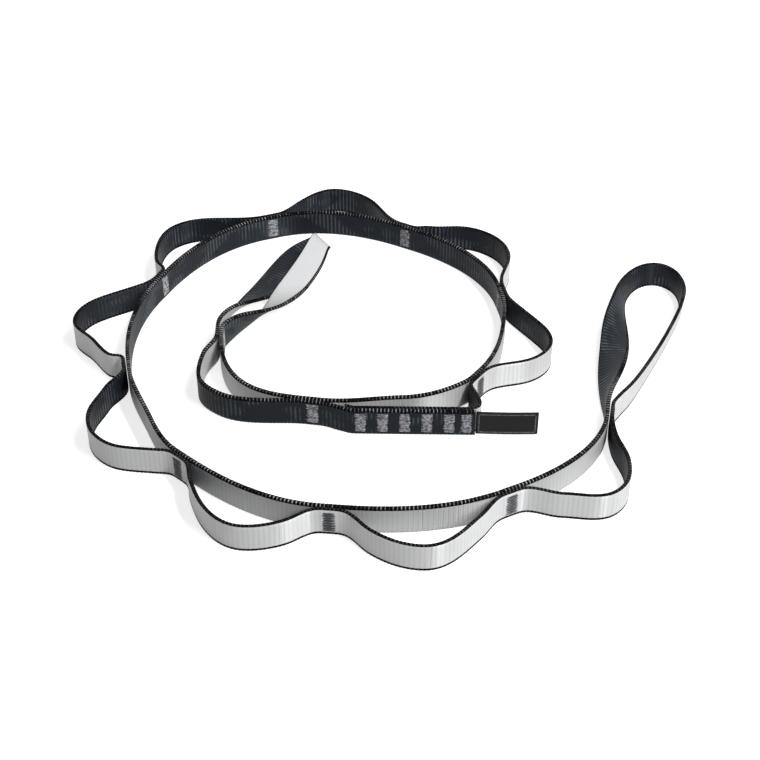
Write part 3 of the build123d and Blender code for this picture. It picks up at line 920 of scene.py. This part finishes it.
def tape(name, length, tall, thick, middle, materials):
    """A soft-edged piece of tape that stands on its edge, bowed a little along its length."""
    columns, levels = 48, 14
    rim = [(math.cos(a), math.sin(a)) for a in np.linspace(-math.pi / 2, math.pi / 2, 5)]
    rise = np.linspace(-0.5, 0.5, levels)
    ring = [(z * (tall - thick), -thick / 2) for z in rise]
    ring += [((tall - thick) / 2 + thick / 2 * c, thick / 2 * s) for c, s in rim[1:-1]]
    ring += [(z * (tall - thick), thick / 2) for z in rise[::-1]]
    ring += [(-(tall - thick) / 2 - thick / 2 * c, -thick / 2 * s) for c, s in rim[1:-1]]
    base, ahead, left = upright_frame(middle)
    points = []
    for i in range(columns + 1):
        t = i / columns - 0.5
        taper = 1 - 0.5 * max(0.0, abs(t) - 0.485) / 0.015
        bow = LABEL_BOW * math.cos(math.pi * t)
        for z, h in ring:
            points.append(base + t * length * ahead + (h * taper + bow) * left + np.array([0, 0, z]))
    faces = tube_faces(columns + 1, len(ring))
    obj = mesh_object(name, points, faces, materials, [0] * len(faces))
    flatten_ends(obj)
    return obj


def border_line(name, label_length, length, tall, wide, face, middle, material):
    """A thin woven line round the label's front, as a closed flat cord."""
    base, ahead, left = upright_frame(middle)
    corner, half_deep, twist_pitch = 0.0006, 0.00013, 0.0009
    loop = []
    for sx, sz, start in ((1, 1, 0), (-1, 1, 90), (-1, -1, 180), (1, -1, 270)):
        for a in np.radians(np.linspace(start, start + 90, 5)):
            loop.append(((length / 2 - corner) * sx + corner * math.cos(a),
                         (tall / 2 - corner) * sz + corner * math.sin(a)))
    loop = np.array(loop + [loop[0]])
    run = np.concatenate([[0], np.cumsum(np.linalg.norm(np.diff(loop, axis=0), axis=1))])
    even = np.linspace(0, run[-1], 241)[:-1]
    loop = np.stack([np.interp(even, run, loop[:, k]) for k in range(2)], 1)
    forward = np.roll(loop, -1, 0) - np.roll(loop, 1, 0)
    forward /= np.linalg.norm(forward, axis=1)[:, None]
    out = np.stack([forward[:, 1], -forward[:, 0]], 1)
    rim = 8
    points = []
    for run_here, p, o in zip(even, loop, out):
        bow = LABEL_BOW * math.cos(math.pi * p[0] / label_length)
        swell = 1 + 0.18 * math.sin(run_here / twist_pitch * 2 * math.pi)
        for a in 2 * math.pi * np.arange(rim) / rim:
            q = p + o * wide / 2 * math.cos(a)
            h = face + bow + half_deep * math.sin(a) * swell
            points.append(base + q[0] * ahead + h * left + np.array([0, 0, q[1]]))
    faces = tube_faces(len(loop), rim, closed=True)
    return mesh_object(name, points, faces, [material], [0] * len(faces))


class CHAIN_OT_label(bpy.types.Operator):
    """Makes the bare label that hangs from the strap's near end"""
    bl_idname = "chain.make_label"
    bl_label = "Label"

    def execute(self, context):
        s = context.scene.chain_label
        middle = step(NEAR_END, -LABEL_GAP - s.length / MM / 2, 0)
        cloth = tape("label_tape", s.length, s.tall, s.thick, middle, [label_material(s)])
        line = border_line("label_border_line", s.length, s.length - BORDER_INSET,
                           s.tall - BORDER_INSET, BORDER_WIDE, s.thick / 2, middle,
                           thread_material("Label thread", s.border))
        for piece, node_name, slot_name in ((cloth, "label", "label_cloth"),
                                            (line, "label_border", "label_thread")):
            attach(piece, "label_flap")
            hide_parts(node_name)
        return {"FINISHED"}


class CHAIN_OT_stage(bpy.types.Operator):
    """Sets up the floor, the light and the camera"""
    bl_idname = "chain.make_stage"
    bl_label = "Stage"

    def execute(self, context):
        s, scene = context.scene.chain_stage, context.scene
        scene.view_settings.view_transform = "Standard"
        material, tree, shader = new_material("Floor")
        shader.inputs["Base Color"].default_value = (*s.floor, 1)
        shader.inputs["Roughness"].default_value = 1.0
        shader.inputs["Specular IOR Level"].default_value = 0.0
        shader.inputs["Emission Color"].default_value = (1, 1, 1, 1)
        glow = maths(tree, "MULTIPLY", seen_directly(tree), s.glow)
        tree.links.new(glow, shader.inputs["Emission Strength"])
        floor = mesh_object("floor", [(-4, -4, 0), (4, -4, 0), (4, 4, 0), (-4, 4, 0)], [(0, 1, 2, 3)],
                            [material], [0])
        world = bpy.data.worlds.new("Studio")
        world.use_nodes = True
        scene.world = world
        sky = world.node_tree
        strength = node(sky, "ShaderNodeMapRange", i0=seen_directly(sky), i3=s.sky, i4=1.0).outputs[0]
        sky.nodes["Background"].inputs[0].default_value = (1, 1, 1, 1)
        sky.links.new(strength, sky.nodes["Background"].inputs[1])
        for name, place, long_way, size, power in (
                ("Strip softbox", (0.44, -0.34, 0.84), (0.24, -0.9, -0.5), (0.08, 1.1), s.key),
                ("Back softbox", (-0.2, 0.9, 0.7), (0.0, 0.0, 1.0), (0.9, 0.9), s.back),
                ("Side softbox", (0.85, -0.05, 0.6), (0.0, 0.0, 1.0), (0.6, 0.6), s.side)):
            lamp = bpy.data.lights.new(name, "AREA")
            lamp.shape, lamp.energy = "RECTANGLE", power
            lamp.size, lamp.size_y = size
            holder = bpy.data.objects.new(name, lamp)
            holder.location = place
            back = Vector(place).normalized()
            over = Vector(long_way).cross(back).normalized()
            holder.rotation_euler = Matrix((over, back.cross(over), back)).transposed().to_euler()
            scene.collection.objects.link(holder)
        camera = bpy.data.objects.new("Camera", bpy.data.cameras.new("Camera"))
        camera.data.lens, camera.data.sensor_width = CAMERA_LENS, 36.0
        camera.location = CAMERA_PLACE
        camera.rotation_euler = (math.radians(CAMERA_TILT), 0, 0)
        camera.data.clip_start, camera.data.clip_end = 0.01, 50
        scene.collection.objects.link(camera)
        scene.camera = camera
        return {"FINISHED"}


STEPS = (CHAIN_OT_stage, CHAIN_OT_outer_loop, CHAIN_OT_inner_loop, CHAIN_OT_spine, CHAIN_OT_pockets,
         CHAIN_OT_splice, CHAIN_OT_bar_tacks, CHAIN_OT_splice_tacks, CHAIN_OT_label)
GROUPS = (("chain_webbing", ChainWebbing), ("chain_stitching", ChainStitching),
          ("chain_label", ChainLabel), ("chain_stage", ChainStage))


class CHAIN_PT_panel(bpy.types.Panel):
    """Lists the chain's pieces and settings"""
    bl_idname = "CHAIN_PT_panel"
    bl_label = "Daisy chain"
    bl_space_type = "VIEW_3D"
    bl_region_type = "UI"
    bl_category = "Daisy chain"

    def draw(self, context):
        for name, group in GROUPS:
            box = self.layout.box()
            box.label(text=group.__doc__)
            for key in group.__annotations__:
                box.prop(getattr(context.scene, name), key)
        for operator in STEPS:
            self.layout.operator(operator.bl_idname)


def register():
    for name, group in GROUPS:
        bpy.utils.register_class(group)
        setattr(bpy.types.Scene, name, bpy.props.PointerProperty(type=group))
    for made in (*STEPS, CHAIN_PT_panel):
        bpy.utils.register_class(made)


def unregister():
    for made in (CHAIN_PT_panel, *reversed(STEPS)):
        bpy.utils.unregister_class(made)
    for name, group in reversed(GROUPS):
        delattr(bpy.types.Scene, name)
        bpy.utils.unregister_class(group)


def main():
    register()
    bpy.ops.chain.make_stage()
    bpy.ops.chain.make_outer_loop()
    bpy.ops.chain.make_inner_loop()
    bpy.ops.chain.make_spine()
    bpy.ops.chain.make_pockets()
    bpy.ops.chain.make_splice()
    bpy.ops.chain.make_bar_tacks()
    bpy.ops.chain.make_splice_tacks()
    bpy.ops.chain.make_label()


if __name__ == "__main__":
    main()
